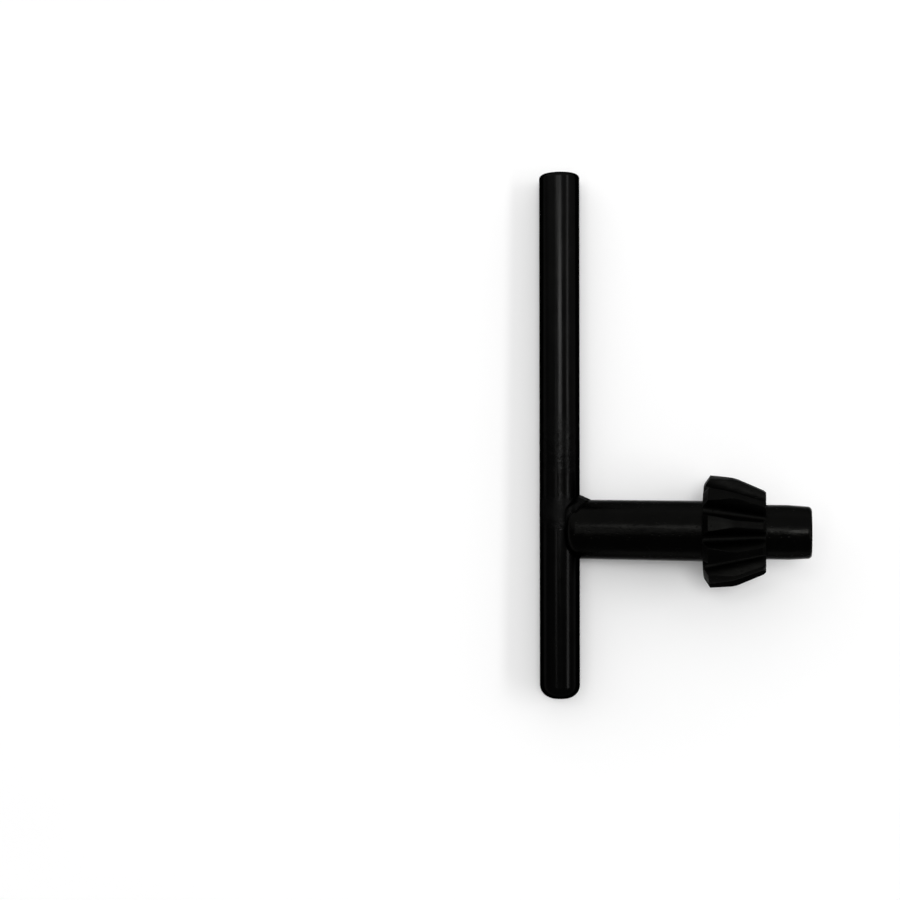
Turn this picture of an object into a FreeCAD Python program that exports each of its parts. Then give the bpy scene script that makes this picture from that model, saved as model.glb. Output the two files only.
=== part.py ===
import FreeCAD, Part
import math
import os
from FreeCAD import Vector

# Drill chuck key, lying as it comes to rest: a round rod welded across the end of a turned shank,
# with a bevel pinion and a pilot pin at the shank's other end.
# The pieces are built in the key's own axes, then laid down together. In the key's axes the shank
# runs along +X and the rod along Y. The two axes cross at the origin. Lengths are millimetres,
# and "reach" is a distance along X from the rod's axis.

# Handle rod, a standard 6 mm drawn bar
ROD_DIAMETER = 6.0
ROD_LONG_REACH = 52.8
ROD_SHORT_REACH = 25.1
ROD_LONG_END_ROUND = 0.6
ROD_SHORT_END_ROUND = 2.0
ROD_SHORT_END_DROP = 1.35

# Shank, from the saddle that takes the rod to the back of the pinion
SHANK_DIAMETER = 8.8
SADDLE_DEPTH = 1.5
SHANK_END_ROUND = 1.5

# Pinion blank
PINION_BACK_REACH = 21.25
PINION_LENGTH = 8.65
PINION_BACK_DIAMETER = 16.3
PINION_BACK_CHAMFER_LENGTH = 0.85
PINION_BACK_CHAMFER_DROP = 1.25
PINION_LAND_LENGTH = 4.35
PINION_LAND_TAPER = 4.7
TIP_CONE_TAPER = 24.2
TIP_CONE_BLEND_RADIUS = 4.0
PINION_FRONT_CHAMFER = 0.35

# Pinion teeth. Their lines meet at an apex, at a distance from the pinion's back, and the count
# of the teeth they mesh with sets the slope of the pitch cone. The gullets' floor ends a step
# above the pilot, and the cut reaches past the blank by a share of the pitch radius.
TOOTH_COUNT = 11
CHUCK_RING_TEETH = 32
PINION_BACK_TO_CHUCK_AXIS = 23.45
PRESSURE_ANGLE = 20.0
TOOTH_THICKENING = 1.3
ROOT_STEP_ABOVE_PILOT = 0.35
ROOT_FILLET_SHARE = 0.8
GULLET_OVERREACH_SHARE = 0.0725
TOOTH_PHASE = 11.5

# Pilot pin
PILOT_DIAMETER = 7.8
PILOT_LENGTH = 6.3
PILOT_LEAD_LENGTH = 3.2
PILOT_LEAD_DROP = 0.225
PILOT_TIP_ROUND = 0.6

# Weld bead in the corner on the rod's long side
BEAD_HEIGHT = 0.75
BEAD_LENGTH = 1.7
BEAD_OFFSET = 1.35
BEAD_START_HEIGHT = 0.3

X_AXIS = Vector(1, 0, 0)
Y_AXIS = Vector(0, 1, 0)
ORIGIN = Vector(0, 0, 0)
CUT_OVERRUN = 0.5
REST_TOLERANCE = 0.01
REST_STEPS = 12


def polar(angle, radius, reach):
    """Point at an angle, in degrees from +Z towards +Y, round the shank's axis."""
    turn = math.radians(angle)
    return Vector(reach, radius * math.sin(turn), radius * math.cos(turn))


def revolve_outline(edges, axis):
    """Solid of revolution from edges that start and end on the axis."""
    outline = edges + [Part.makeLine(edges[-1].Vertexes[-1].Point, edges[0].Vertexes[0].Point)]
    face = Part.Face(Part.Wire(outline))
    return face.revolve(ORIGIN, axis, 360)


def rounded_polyline(corners):
    """Edges through (point, radius) corners, with each corner rounded to its radius by an arc."""
    edges = []
    start = corners[0][0]
    for k in range(1, len(corners) - 1):
        corner, radius = corners[k]
        towards_back = (corners[k - 1][0] - corner).normalize()
        towards_next = (corners[k + 1][0] - corner).normalize()
        half_angle = towards_back.getAngle(towards_next) / 2
        if radius > 0:
            setback = radius / math.tan(half_angle)
            arc_start = corner + towards_back * setback
            arc_end = corner + towards_next * setback
            bisector = (towards_back + towards_next).normalize()
            middle = corner + bisector * (radius / math.sin(half_angle) - radius)
            edges.append(Part.makeLine(start, arc_start))
            edges.append(Part.Arc(arc_start, middle, arc_end).toBSpline().toShape())
            start = arc_end
        else:
            edges.append(Part.makeLine(start, corner))
            start = corner
    edges.append(Part.makeLine(start, corners[-1][0]))
    return edges


def handle_rod():
    """Drawn rod, with an edge break on its long end and a rounded nose on its short end."""
    radius = ROD_DIAMETER / 2
    face_radius = radius - ROD_SHORT_END_DROP
    nose_length = math.sqrt(ROD_SHORT_END_ROUND ** 2 - (ROD_SHORT_END_ROUND - ROD_SHORT_END_DROP) ** 2)
    nose_centre = Vector(radius - ROD_SHORT_END_ROUND, nose_length - ROD_SHORT_REACH, 0)
    half_turn = math.asin(nose_length / ROD_SHORT_END_ROUND) / 2
    nose_middle = nose_centre + Vector(math.cos(half_turn), -math.sin(half_turn), 0) * ROD_SHORT_END_ROUND
    face_edge = Vector(face_radius, -ROD_SHORT_REACH, 0)
    nose_end = Vector(radius, nose_length - ROD_SHORT_REACH, 0)
    edges = [
        Part.makeLine(Vector(0, -ROD_SHORT_REACH, 0), face_edge),
        Part.Arc(face_edge, nose_middle, nose_end).toShape(),
    ]
    edges += rounded_polyline([
        (nose_end, 0),
        (Vector(radius, ROD_LONG_REACH, 0), ROD_LONG_END_ROUND),
        (Vector(0, ROD_LONG_REACH, 0), 0),
    ])
    return revolve_outline(edges, Y_AXIS)


def tip_radii():
    """Radii of the toothless pinion at its back, at the end of its land and at its front."""
    land = PINION_LAND_LENGTH - PINION_BACK_CHAMFER_LENGTH
    tip_cone = PINION_LENGTH - PINION_LAND_LENGTH - PINION_FRONT_CHAMFER
    back_radius = PINION_BACK_DIAMETER / 2
    land_end_radius = back_radius - land * math.tan(math.radians(PINION_LAND_TAPER))
    rim_radius = land_end_radius - tip_cone * math.tan(math.radians(TIP_CONE_TAPER))
    return back_radius, land_end_radius, rim_radius


def key_blank():
    """Shank, toothless pinion and pilot, turned in one piece."""
    shank_radius = SHANK_DIAMETER / 2
    shank_start = ROD_DIAMETER / 2 - SADDLE_DEPTH
    back_radius, land_end_radius, rim_radius = tip_radii()
    land_start = PINION_BACK_REACH + PINION_BACK_CHAMFER_LENGTH
    land_end = PINION_BACK_REACH + PINION_LAND_LENGTH
    front = PINION_BACK_REACH + PINION_LENGTH
    pilot_radius = PILOT_DIAMETER / 2
    pilot_end = front + PILOT_LENGTH
    corners = [
        (Vector(shank_start, 0, 0), 0),
        (Vector(shank_start, shank_radius, 0), SHANK_END_ROUND),
        (Vector(PINION_BACK_REACH, shank_radius, 0), 0),
        (Vector(PINION_BACK_REACH, back_radius - PINION_BACK_CHAMFER_DROP, 0), 0),
        (Vector(land_start, back_radius, 0), 0),
        (Vector(land_end, land_end_radius, 0), TIP_CONE_BLEND_RADIUS),
        (Vector(front - PINION_FRONT_CHAMFER, rim_radius, 0), 0),
        (Vector(front, rim_radius - PINION_FRONT_CHAMFER, 0), 0),
        (Vector(front, pilot_radius, 0), 0),
        (Vector(pilot_end - PILOT_LEAD_LENGTH, pilot_radius, 0), 0),
        (Vector(pilot_end, pilot_radius - PILOT_LEAD_DROP, 0), PILOT_TIP_ROUND),
        (Vector(pilot_end, 0, 0), 0),
    ]
    return revolve_outline(rounded_polyline(corners), X_AXIS)


def involute(angle):
    """Involute function of a pressure angle in radians."""
    return math.tan(angle) - angle


def gullet_half_angle(share):
    """Half the gullet's opening, in degrees, at a share of the pitch radius.

    The flanks are involutes of the spur gear that a bevel tooth matches on its back cone, and
    run straight in towards the axis below the base circle.
    """
    pressure = math.radians(PRESSURE_ANGLE)
    pitch_cone = math.atan(TOOTH_COUNT / CHUCK_RING_TEETH)
    roll = math.acos(min(1.0, math.cos(pressure) / share))
    change = math.degrees(involute(pressure) - involute(roll)) / math.cos(pitch_cone)
    return 90.0 / TOOTH_COUNT - TOOTH_THICKENING - change


def cone_through(points, apex, length):
    """Solid cone from an apex, whose side passes through three points."""
    rays = [(point - apex).normalize() for point in points]
    axis = (rays[1] - rays[0]).cross(rays[2] - rays[1]).normalize()
    if axis.dot(rays[0]) < 0:
        axis = axis.negative()
    half_angle = axis.getAngle(rays[0])
    return Part.makeCone(0, length * math.tan(half_angle), length, apex, axis)


def frustum(outline, apex, back_scale, front_scale):
    """Solid between a larger and a smaller copy of an outline, whose flat sides aim at the apex."""
    back = [apex + (point - apex) * back_scale for point in outline]
    front = [apex + (point - apex) * front_scale for point in outline]
    faces = [Part.Face(Part.makePolygon(back + back[:1])), Part.Face(Part.makePolygon(front + front[:1]))]
    for k in range(len(outline)):
        side = [back[k - 1], back[k], front[k], front[k - 1], back[k - 1]]
        faces.append(Part.Face(Part.makePolygon(side)))
    return Part.Solid(Part.Shell(faces))


def gullet():
    """The gap between two teeth, centred on +Z, as a solid to cut away.

    The lines of a straight bevel tooth meet at the apex, so each flank is part of a cone from the
    apex. The cone passes through three points of the involute. The rounded floor is a small cone.
    """
    to_apex = PINION_BACK_TO_CHUCK_AXIS
    apex = Vector(PINION_BACK_REACH + to_apex, 0, 0)
    front_to_apex = to_apex - PINION_LENGTH
    pitch_radius = to_apex * TOOTH_COUNT / CHUCK_RING_TEETH
    root_radius = (PILOT_DIAMETER / 2 + ROOT_STEP_ABOVE_PILOT) * to_apex / front_to_apex
    floor_angle = gullet_half_angle(root_radius / pitch_radius)
    fillet = ROOT_FILLET_SHARE * root_radius * math.sin(math.radians(floor_angle))
    foot_share = (root_radius + fillet) / pitch_radius
    tips_to_apex = [
        to_apex - PINION_BACK_CHAMFER_LENGTH,
        to_apex - PINION_LAND_LENGTH,
        front_to_apex + PINION_FRONT_CHAMFER,
    ]
    steepest = max(radius / distance for radius, distance in zip(tip_radii(), tips_to_apex))
    outer_share = steepest * to_apex / pitch_radius + GULLET_OVERREACH_SHARE
    shares = [foot_share, (foot_share + outer_share) / 2, outer_share]
    left, right = [
        [polar(side * gullet_half_angle(s), s * pitch_radius, PINION_BACK_REACH) for s in shares]
        for side in (-1, 1)
    ]
    root = polar(0, root_radius, PINION_BACK_REACH)
    crown_radius = outer_share * pitch_radius / math.cos(math.radians(gullet_half_angle(outer_share)))
    crown = polar(0, crown_radius, PINION_BACK_REACH)
    back_scale = (to_apex + CUT_OVERRUN) / to_apex
    front_scale = (front_to_apex - CUT_OVERRUN) / to_apex
    tooth_sides = [cone_through(points, apex, 2 * to_apex) for points in (left, right)]
    between_flanks = [left[0], right[0], right[2], crown, left[2]]
    upper = frustum(between_flanks, apex, back_scale, front_scale).cut(tooth_sides)
    down = Vector(0, 0, -2 * fillet)
    below_flanks = [left[0], left[0] + down, right[0] + down, right[0]]
    floor_cone = cone_through([left[0], root, right[0]], apex, 2 * to_apex)
    lower = frustum(below_flanks, apex, back_scale, front_scale).common(floor_cone)
    return upper.fuse(lower)


def key_body():
    """Blank with its gullets cut, and a saddle across its end for the rod."""
    pitch = 360.0 / TOOTH_COUNT
    gap = gullet()
    gullets = []
    for k in range(TOOTH_COUNT):
        turned = gap.copy()
        turned.rotate(ORIGIN, X_AXIS, -(TOOTH_PHASE + (k + 0.5) * pitch))
        gullets.append(turned)
    body = key_blank().cut(gullets)
    rod_length = ROD_LONG_REACH + ROD_SHORT_REACH
    saddle = Part.makeCylinder(ROD_DIAMETER / 2, rod_length, Vector(0, -ROD_SHORT_REACH, 0), Y_AXIS)
    return body.cut(saddle)


def weld_bead(rod, body):
    """Crescent of weld in the corner between rod and shank, on the side of the rod's long end."""
    rod_side = ROD_DIAMETER / 2
    toe_radius = SHANK_DIAMETER / 2 - BEAD_OFFSET
    start = Vector(rod_side - SADDLE_DEPTH, toe_radius + BEAD_START_HEIGHT, 0)
    crown = Vector(rod_side, toe_radius + BEAD_HEIGHT, 0)
    toe = Vector(rod_side + BEAD_LENGTH, toe_radius, 0)
    corners = [Vector(start.x, 0, 0), start, crown, toe, Vector(toe.x, 0, 0)]
    lump = revolve_outline(rounded_polyline([(corner, 0) for corner in corners]), X_AXIS)
    lump.translate(Vector(0, BEAD_OFFSET, 0))
    return lump.cut([rod, body])


def rest_normal(rod, body):
    """Upward normal of the plane the key rests on.

    The key stands on three points: the heel of the shank's end, the lowest tooth of the pinion,
    and the rod's long end, which sinks until it touches.
    """
    body_points = body.tessellate(REST_TOLERANCE)[0]
    rod_points = rod.tessellate(REST_TOLERANCE)[0]
    heel = [point for point in body_points if point.x < PINION_BACK_REACH / 2]
    pinion = [point for point in body_points if point.x > PINION_BACK_REACH / 2]
    long_end = [point for point in rod_points if point.y > ROD_LONG_REACH / 2]
    normal = Vector(0, 0, 1)
    for _ in range(REST_STEPS):
        feet = [min(points, key=normal.dot) for points in (heel, pinion, long_end)]
        normal = (feet[1] - feet[0]).cross(feet[2] - feet[0]).normalize()
    return normal


def lay_down(pieces):
    """Turns the key to its rest and puts the bottom centre of its box at the origin."""
    normal = rest_normal(pieces["handle_rod"], pieces["key_body"])
    turn = FreeCAD.Rotation(X_AXIS, Y_AXIS, normal, "ZYX").inverted()
    for shape in pieces.values():
        shape.Placement = FreeCAD.Placement(ORIGIN, turn)
    box = Part.makeCompound(list(pieces.values())).optimalBoundingBox(False, False)
    bottom_centre = Vector(box.Center.x, box.Center.y, box.ZMin)
    for shape in pieces.values():
        shape.translate(bottom_centre.negative())
    return normal


def main():
    """Builds the three pieces, lays them down and writes each to its own file."""
    rod = handle_rod()
    body = key_body()
    pieces = {"handle_rod": rod, "key_body": body, "weld_bead": weld_bead(rod, body)}
    normal = lay_down(pieces)
    print("shank rises by", round(math.degrees(math.asin(normal.x)), 3), "degrees")
    print("rod's long end drops by", round(math.degrees(math.asin(-normal.y)), 3), "degrees")
    os.makedirs("parts", exist_ok=True)
    for name, shape in pieces.items():
        shape.exportStep("parts/" + name + ".step")
        box = shape.optimalBoundingBox(False, False)
        print(name, "solids", len(shape.Solids), "valid", shape.isValid(), "volume", round(shape.Volume, 2))
        print("  x", round(box.XMin, 3), round(box.XMax, 3), "y", round(box.YMin, 3), round(box.YMax, 3),
              "z", round(box.ZMin, 3), round(box.ZMax, 3))


main()
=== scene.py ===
import bpy
import math
from mathutils import Matrix, Quaternion, Vector

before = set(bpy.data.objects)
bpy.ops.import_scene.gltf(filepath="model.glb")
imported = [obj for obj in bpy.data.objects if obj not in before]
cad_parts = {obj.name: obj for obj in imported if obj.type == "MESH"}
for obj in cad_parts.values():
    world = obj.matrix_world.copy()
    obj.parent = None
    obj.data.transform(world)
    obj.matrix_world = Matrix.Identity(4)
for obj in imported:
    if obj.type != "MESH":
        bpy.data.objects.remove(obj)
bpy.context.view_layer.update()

scene = bpy.context.scene
scene.view_settings.view_transform = "Standard"

# A black steel key on white paper, under soft lamps, seen from above. Its rod runs along Y. Its
# shank runs along X, and rises towards the pinion. Lengths are metres, and the textures on the
# key are laid out in millimetres. A density is a texture's scale along X, Y and Z, as a share.
MM_PER_METRE = 1000.0
MICRON = 1e-6
SHANK_RISE = math.radians(11.0)

# The span that most of a noise's values lie in
NOISE_SPAN = (0.3, 0.7)

# Rod. A stretch is given by its middle, how far from there its effect is full, and how far away
# it ends. A noise shifts it along the rod by up to a raggedness, so its ends are uneven.
ROD_BLACKS = ((0.0042, 0.0042, 0.0042), (0.0066, 0.0066, 0.0065))
ROD_RIM_TINT = 0.3
ROD_ROUGHNESS = (0.14, 0.26)
DRAW_LINES_DENSITY = (1.0, 0.02, 1.0)
DRAW_LINES_SHARE = 0.6
RAGGEDNESS = 5.0
MOTTLED_STRETCH = (1.6, 1.0, 6.5)
MOTTLED_BLOTCHES = (0.4, 0.65)
MOTTLED_ROUGHNESS = (0.0, 0.14)
DULL_STRETCH = (-8.6, 0.6, 3.0)
DULL_ROUGHNESS = 0.28

# Shank, pinion and pilot. The pinion's stretch is along the shank.
BODY_BLACKS = ((0.0025, 0.0025, 0.0024), (0.0045, 0.0045, 0.0042))
BODY_RIM_TINT = 0.5
BODY_ROUGHNESS = (0.14, 0.28)
BODY_EDGE_BREAK = 150 * MICRON
DENTS_DENSITY = (0.5, 1.0, 1.0)
TOOL_LINES_DENSITY = (6.0, 0.05, 0.05)
GRAIN_SHARE = 0.5
PINION_STRETCH = (10.0, 4.3, 4.7)
TEETH_ROUGHNESS = 0.22
PITS_PER_MM = 1.6
PIT_RADIUS = 0.22

# Weld
WELD_BLACKS = ((0.0026, 0.0026, 0.0026), (0.0052, 0.0052, 0.0050))
WELD_RIM_TINT = 0.5
WELD_ROUGHNESS = (0.28, 0.5)
WELD_EDGE_BREAK = 700 * MICRON
RIPPLES_SCALE = 0.35
RIPPLES_DISTORTION = 3.0

# Paper that the key lies on. It glows a little far from the key, where the lamps reach less.
PAPER_SIZE = 12.0
PAPER_WHITES = ((0.985, 0.985, 0.985), (1.0, 1.0, 1.0))
GLOW_DISTANCES = (0.12, 1.1)
GLOW_STRENGTHS = (0.0, 0.38)

# Room. Each line has the range of one component of a direction, and the strengths at its ends.
WHITE = (1.0, 1.0, 1.0, 1.0)
OVERHEAD_BY_Y = ((-0.06, 0.30), (0.24, 1.08))
HAZE_BY_Y = ((-0.20, 0.65), (0.40, 1.30))
HAZE_SHARE_BY_Z = ((0.02, 0.40), (1.0, 0.0))
LEFT_SIDE_BY_X = ((-0.97, -0.86), (0.5, 1.0))
HORIZON_BY_Z = ((0.02, 0.12), (1.0, 0.0))

# Camera, nearly overhead, with its turns about X, Y and Z in degrees
CAMERA_LENS = 50.0
CAMERA_PLACE = (-0.020976, 0.001176, 0.190891)
CAMERA_TURNS = (-0.985, 3.661, -0.088)
CAMERA_CLIP = (0.01, 50.0)


def node_tree(material):
    """The material's emptied node tree, with a new Principled shader on its output."""
    material.use_nodes = True
    tree = material.node_tree
    tree.nodes.clear()
    output = tree.nodes.new("ShaderNodeOutputMaterial")
    shader = tree.nodes.new("ShaderNodeBsdfPrincipled")
    tree.links.new(shader.outputs["BSDF"], output.inputs["Surface"])
    return tree, shader


def object_coordinates(tree, density=(1.0, 1.0, 1.0), turn=(0.0, 0.0, 0.0), per_metre=MM_PER_METRE):
    """Coordinates in the object's own space, turned and then scaled, as a vector output."""
    coordinates = tree.nodes.new("ShaderNodeTexCoord")
    turned = tree.nodes.new("ShaderNodeMapping")
    turned.vector_type = "TEXTURE"
    turned.inputs["Rotation"].default_value = turn
    tree.links.new(coordinates.outputs["Object"], turned.inputs["Vector"])
    scaled = tree.nodes.new("ShaderNodeMapping")
    scaled.inputs["Scale"].default_value = [per_metre * share for share in density]
    tree.links.new(turned.outputs["Vector"], scaled.inputs["Vector"])
    return scaled.outputs["Vector"]


def component(tree, vector, axis):
    """The value of a vector along one axis."""
    node = tree.nodes.new("ShaderNodeSeparateXYZ")
    tree.links.new(vector, node.inputs["Vector"])
    return node.outputs[axis]


def noise(tree, vector, scale, detail=3.0, roughness=0.5):
    """A noise texture's value output."""
    node = tree.nodes.new("ShaderNodeTexNoise")
    node.inputs["Scale"].default_value = scale
    node.inputs["Detail"].default_value = detail
    node.inputs["Roughness"].default_value = roughness
    tree.links.new(vector, node.inputs["Vector"])
    return node.outputs["Fac"]


def remap(tree, value, source, target, ease="LINEAR"):
    """A value mapped from one range to another, clamped."""
    node = tree.nodes.new("ShaderNodeMapRange")
    node.interpolation_type = ease
    tree.links.new(value, node.inputs["Value"])
    node.inputs["From Min"].default_value, node.inputs["From Max"].default_value = source
    node.inputs["To Min"].default_value, node.inputs["To Max"].default_value = target
    return node.outputs["Result"]


def math_node(tree, operation, first, second=0.0):
    """Two values, or a value and a number, put together by one operation."""
    node = tree.nodes.new("ShaderNodeMath")
    node.operation = operation
    for socket, value in zip(node.inputs, (first, second)):
        if isinstance(value, float):
            socket.default_value = value
        else:
            tree.links.new(value, socket)
    return node.outputs["Value"]


def add(tree, first, second):
    """The sum of two values."""
    return math_node(tree, "ADD", first, second)


def times(tree, first, second):
    """The product of two values."""
    return math_node(tree, "MULTIPLY", first, second)


def blend(tree, first, second, share):
    """A share of the first value, with the rest from the second."""
    return add(tree, times(tree, first, share), times(tree, second, 1.0 - share))


def within(tree, value, stretch):
    """One near the middle of a stretch, falling to nothing at its end."""
    middle, full, end = stretch
    away = math_node(tree, "ABSOLUTE", math_node(tree, "SUBTRACT", value, middle))
    return remap(tree, away, (full, end), (1.0, 0.0), "SMOOTHSTEP")


def colour_between(tree, value, colours):
    """A colour that runs from the first colour to the second with a value."""
    node = tree.nodes.new("ShaderNodeMix")
    node.data_type = "RGBA"
    tree.links.new(value, node.inputs["Factor"])
    for name, colour in zip("AB", colours):
        node.inputs[name].default_value = (*colour, 1.0)
    return node.outputs["Result"]


def broken_edges(tree, radius):
    """A normal output that turns over sharp edges within a radius, as a small edge break does."""
    node = tree.nodes.new("ShaderNodeBevel")
    node.samples = 6
    node.inputs["Radius"].default_value = radius
    return node.outputs["Normal"]


def bump(tree, height, depth, normal=None):
    """A normal output from a height of 0 to 1, which stands for a depth in metres."""
    node = tree.nodes.new("ShaderNodeBump")
    node.inputs["Distance"].default_value = depth
    tree.links.new(height, node.inputs["Height"])
    if normal is not None:
        tree.links.new(normal, node.inputs["Normal"])
    return node.outputs["Normal"]


def black_metal(name, rim_tint):
    """A new metal material, its node tree and its shader. The tint dims what its rims reflect."""
    material = bpy.data.materials.new(name)
    tree, shader = node_tree(material)
    shader.inputs["Metallic"].default_value = 1.0
    shader.inputs["Specular Tint"].default_value = (rim_tint, rim_tint, rim_tint, 1.0)
    return material, tree, shader


def drawn_oxide():
    """Drawn rod under a thin black oxide: smooth, with fine draw lines along it.

    A stretch above the joint is mottled, and the oxide beside the weld is dull.
    """
    material, tree, shader = black_metal("drawn_rod_oxide", ROD_RIM_TINT)
    plain = object_coordinates(tree)
    drawn = object_coordinates(tree, DRAW_LINES_DENSITY)
    lines = noise(tree, drawn, scale=3.5, detail=4.0, roughness=0.65)
    cloud = noise(tree, plain, scale=0.35, roughness=0.55)
    fine = noise(tree, plain, scale=4.0, roughness=0.6)
    blotches = noise(tree, plain, scale=0.9, roughness=0.6)
    ragged = add(tree, component(tree, plain, "Y"), times(tree, blotches, RAGGEDNESS))
    mottled = within(tree, ragged, MOTTLED_STRETCH)
    dull = within(tree, ragged, DULL_STRETCH)

    tree.links.new(colour_between(tree, cloud, ROD_BLACKS), shader.inputs["Base Color"])

    rough = remap(tree, blend(tree, lines, cloud, DRAW_LINES_SHARE), NOISE_SPAN, ROD_ROUGHNESS)
    patchy = times(tree, mottled, remap(tree, blotches, MOTTLED_BLOTCHES, MOTTLED_ROUGHNESS))
    rough = add(tree, add(tree, rough, patchy), times(tree, dull, DULL_ROUGHNESS))
    tree.links.new(rough, shader.inputs["Roughness"])

    uneven = times(tree, blotches, add(tree, mottled, dull))
    surface = bump(tree, fine, 5 * MICRON)
    surface = bump(tree, lines, 7 * MICRON, surface)
    tree.links.new(bump(tree, uneven, 40 * MICRON, surface), shader.inputs["Normal"])
    return material


def turned_oxide():
    """Turned steel under a thicker black oxide, a little uneven, with small pits.

    The cut teeth are duller.
    """
    material, tree, shader = black_metal("turned_body_oxide", BODY_RIM_TINT)
    turn = (0.0, -SHANK_RISE, 0.0)
    plain = object_coordinates(tree, turn=turn)
    drawn_out = object_coordinates(tree, DENTS_DENSITY, turn)
    rings = object_coordinates(tree, TOOL_LINES_DENSITY, turn)
    cloud = noise(tree, plain, scale=0.4, detail=4.0, roughness=0.6)
    grain = noise(tree, plain, scale=5.0, detail=4.0, roughness=0.6)
    dents = noise(tree, drawn_out, scale=1.3, roughness=0.55)
    tool_lines = noise(tree, rings, scale=1.0, detail=2.0)
    pits = tree.nodes.new("ShaderNodeTexVoronoi")
    pits.inputs["Scale"].default_value = PITS_PER_MM
    tree.links.new(plain, pits.inputs["Vector"])
    pitted = remap(tree, pits.outputs["Distance"], (0.0, PIT_RADIUS), (0.0, 1.0))
    teeth = within(tree, component(tree, plain, "X"), PINION_STRETCH)

    tree.links.new(colour_between(tree, cloud, BODY_BLACKS), shader.inputs["Base Color"])

    rough = remap(tree, blend(tree, grain, dents, GRAIN_SHARE), NOISE_SPAN, BODY_ROUGHNESS)
    rough = add(tree, rough, times(tree, teeth, TEETH_ROUGHNESS))
    tree.links.new(rough, shader.inputs["Roughness"])

    surface = bump(tree, grain, 6 * MICRON, broken_edges(tree, BODY_EDGE_BREAK))
    surface = bump(tree, tool_lines, 5 * MICRON, surface)
    surface = bump(tree, dents, 36 * MICRON, surface)
    tree.links.new(bump(tree, pitted, 40 * MICRON, surface), shader.inputs["Normal"])
    return material


def weld_oxide():
    """Weld run under the same black oxide: lumpy, with ripples across its run, and rougher."""
    material, tree, shader = black_metal("weld_oxide", WELD_RIM_TINT)
    plain = object_coordinates(tree)
    lumps = noise(tree, plain, scale=1.2)
    grain = noise(tree, plain, scale=8.0, detail=4.0, roughness=0.6)
    ripples = tree.nodes.new("ShaderNodeTexWave")
    ripples.bands_direction = "Z"
    ripples.inputs["Scale"].default_value = RIPPLES_SCALE
    ripples.inputs["Distortion"].default_value = RIPPLES_DISTORTION
    tree.links.new(plain, ripples.inputs["Vector"])

    tree.links.new(colour_between(tree, lumps, WELD_BLACKS), shader.inputs["Base Color"])
    tree.links.new(remap(tree, grain, NOISE_SPAN, WELD_ROUGHNESS), shader.inputs["Roughness"])

    surface = bump(tree, grain, 20 * MICRON, broken_edges(tree, WELD_EDGE_BREAK))
    surface = bump(tree, ripples.outputs["Fac"], 60 * MICRON, surface)
    tree.links.new(bump(tree, lumps, 150 * MICRON, surface), shader.inputs["Normal"])
    return material


def dress(node, material):
    """Gives a CAD node its one material."""
    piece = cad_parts[node]
    piece.data.materials.clear()
    piece.data.materials.append(material)


def pale_paper():
    """Matt white paper, clouded a little, with its glow far from the key."""
    material = bpy.data.materials.new("pale_floor")
    tree, shader = node_tree(material)
    shader.inputs["Roughness"].default_value = 0.9
    shader.inputs["Specular IOR Level"].default_value = 0.1
    shader.inputs["Emission Color"].default_value = WHITE
    place = object_coordinates(tree, per_metre=1.0)
    paper = noise(tree, place, scale=60.0)
    tree.links.new(colour_between(tree, paper, PAPER_WHITES), shader.inputs["Base Color"])
    distance = tree.nodes.new("ShaderNodeVectorMath")
    distance.operation = "LENGTH"
    tree.links.new(place, distance.inputs[0])
    glow = remap(tree, distance.outputs["Value"], GLOW_DISTANCES, GLOW_STRENGTHS)
    tree.links.new(glow, shader.inputs["Emission Strength"])
    return material


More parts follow.
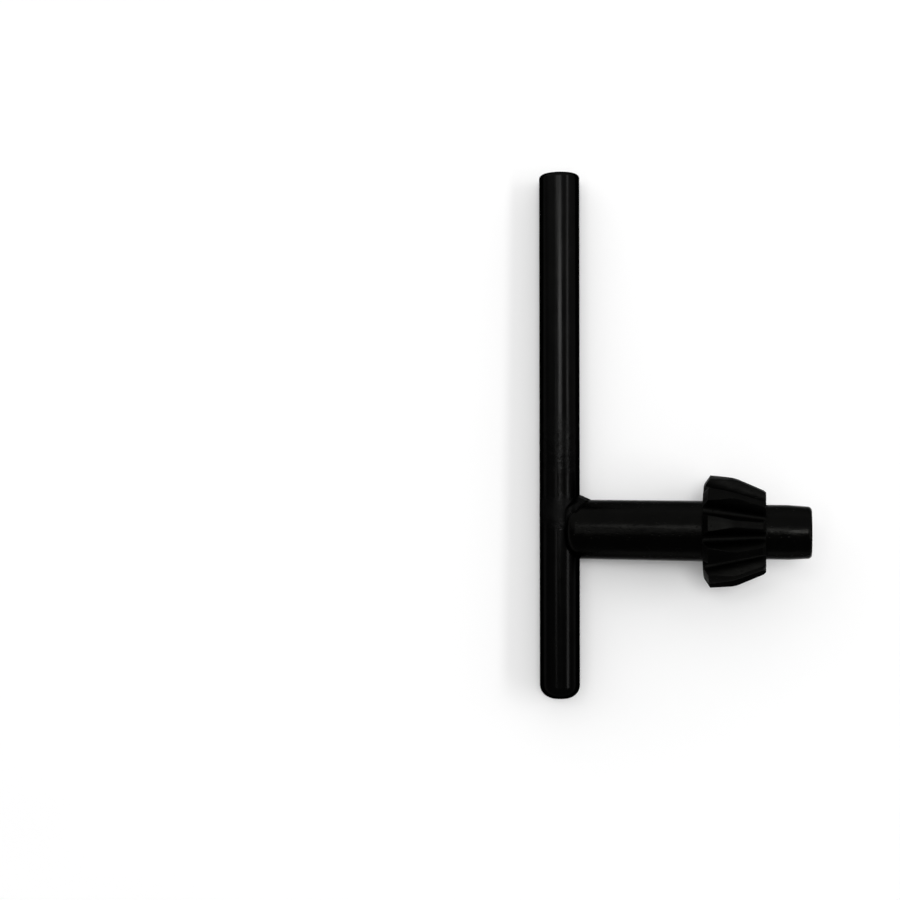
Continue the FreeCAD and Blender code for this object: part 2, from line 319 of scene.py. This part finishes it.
def light_room():
    """A pale room, brightest on the +Y side, dimmer on the -Y side and far to the left (-X).

    Its low walls have a haze of their own, and a thin band at the horizon is white.
    """
    world = bpy.data.worlds.new("studio")
    scene.world = world
    world.use_nodes = True
    tree = world.node_tree
    tree.nodes.clear()
    output = tree.nodes.new("ShaderNodeOutputWorld")
    background = tree.nodes.new("ShaderNodeBackground")
    background.inputs["Color"].default_value = WHITE
    direction = tree.nodes.new("ShaderNodeTexCoord").outputs["Generated"]
    x, y, z = [component(tree, direction, axis) for axis in "XYZ"]
    haze_share = remap(tree, z, *HAZE_SHARE_BY_Z)
    haze = times(tree, haze_share, remap(tree, y, *HAZE_BY_Y))
    overhead_share = math_node(tree, "SUBTRACT", 1.0, haze_share)
    overhead = times(tree, overhead_share, remap(tree, y, *OVERHEAD_BY_Y))
    room = times(tree, add(tree, overhead, haze), remap(tree, x, *LEFT_SIDE_BY_X))
    horizon = remap(tree, z, *HORIZON_BY_Z)
    strength = math_node(tree, "MAXIMUM", room, horizon)
    tree.links.new(strength, background.inputs["Strength"])
    tree.links.new(background.outputs["Background"], output.inputs["Surface"])


def lamp(name, leans, distance, size, radiance, slant=0.0):
    """Area lamp that faces the key, with a given brightness of its face.

    It leans from overhead to the right (+X) and up the picture (+Y), in degrees. Its width runs
    along X, turned by a slant in degrees about its own axis.
    """
    data = bpy.data.lights.new(name, "AREA")
    data.shape = "RECTANGLE"
    data.size, data.size_y = size
    data.energy = radiance * math.pi * data.size * data.size_y
    right, up = [math.tan(math.radians(lean)) for lean in leans]
    facing = Vector((right, up, 1.0)).normalized()
    upward = facing.cross(Vector((1.0, 0.0, 0.0))).normalized()
    across = upward.cross(facing)
    turned = Matrix((across, upward, facing)).transposed().to_quaternion()
    thing = bpy.data.objects.new(name, data)
    scene.collection.objects.link(thing)
    thing.location = facing * distance
    thing.rotation_mode = "QUATERNION"
    thing.rotation_quaternion = turned @ Quaternion((0.0, 0.0, 1.0), math.radians(slant))


def look_down():
    """The camera, looking down on the key."""
    data = bpy.data.cameras.new("camera")
    data.lens = CAMERA_LENS
    data.clip_start, data.clip_end = CAMERA_CLIP
    camera = bpy.data.objects.new("camera", data)
    scene.collection.objects.link(camera)
    camera.location = CAMERA_PLACE
    camera.rotation_mode = "ZYX"
    camera.rotation_euler = [math.radians(turn) for turn in CAMERA_TURNS]
    scene.camera = camera


dress("handle_rod", drawn_oxide())
dress("key_body", turned_oxide())
dress("weld_bead", weld_oxide())

bpy.ops.mesh.primitive_plane_add(size=PAPER_SIZE, location=(0.0, 0.0, 0.0))
floor = bpy.context.object
floor.name = "floor"
floor.data.materials.append(pale_paper())

light_room()
lamp("key_light", leans=(-15.0, 18.0), distance=0.8, size=(0.18, 0.11), radiance=6.0)
lamp("top_light", leans=(0.0, 8.0), distance=0.8, size=(0.22, 0.18), radiance=13.0, slant=20.0)
lamp("low_light", leans=(-22.0, -4.0), distance=0.8, size=(0.06, 0.26), radiance=3.5)
lamp("side_light", leans=(45.0, 0.0), distance=0.9, size=(0.13, 0.60), radiance=6.0)
look_down()
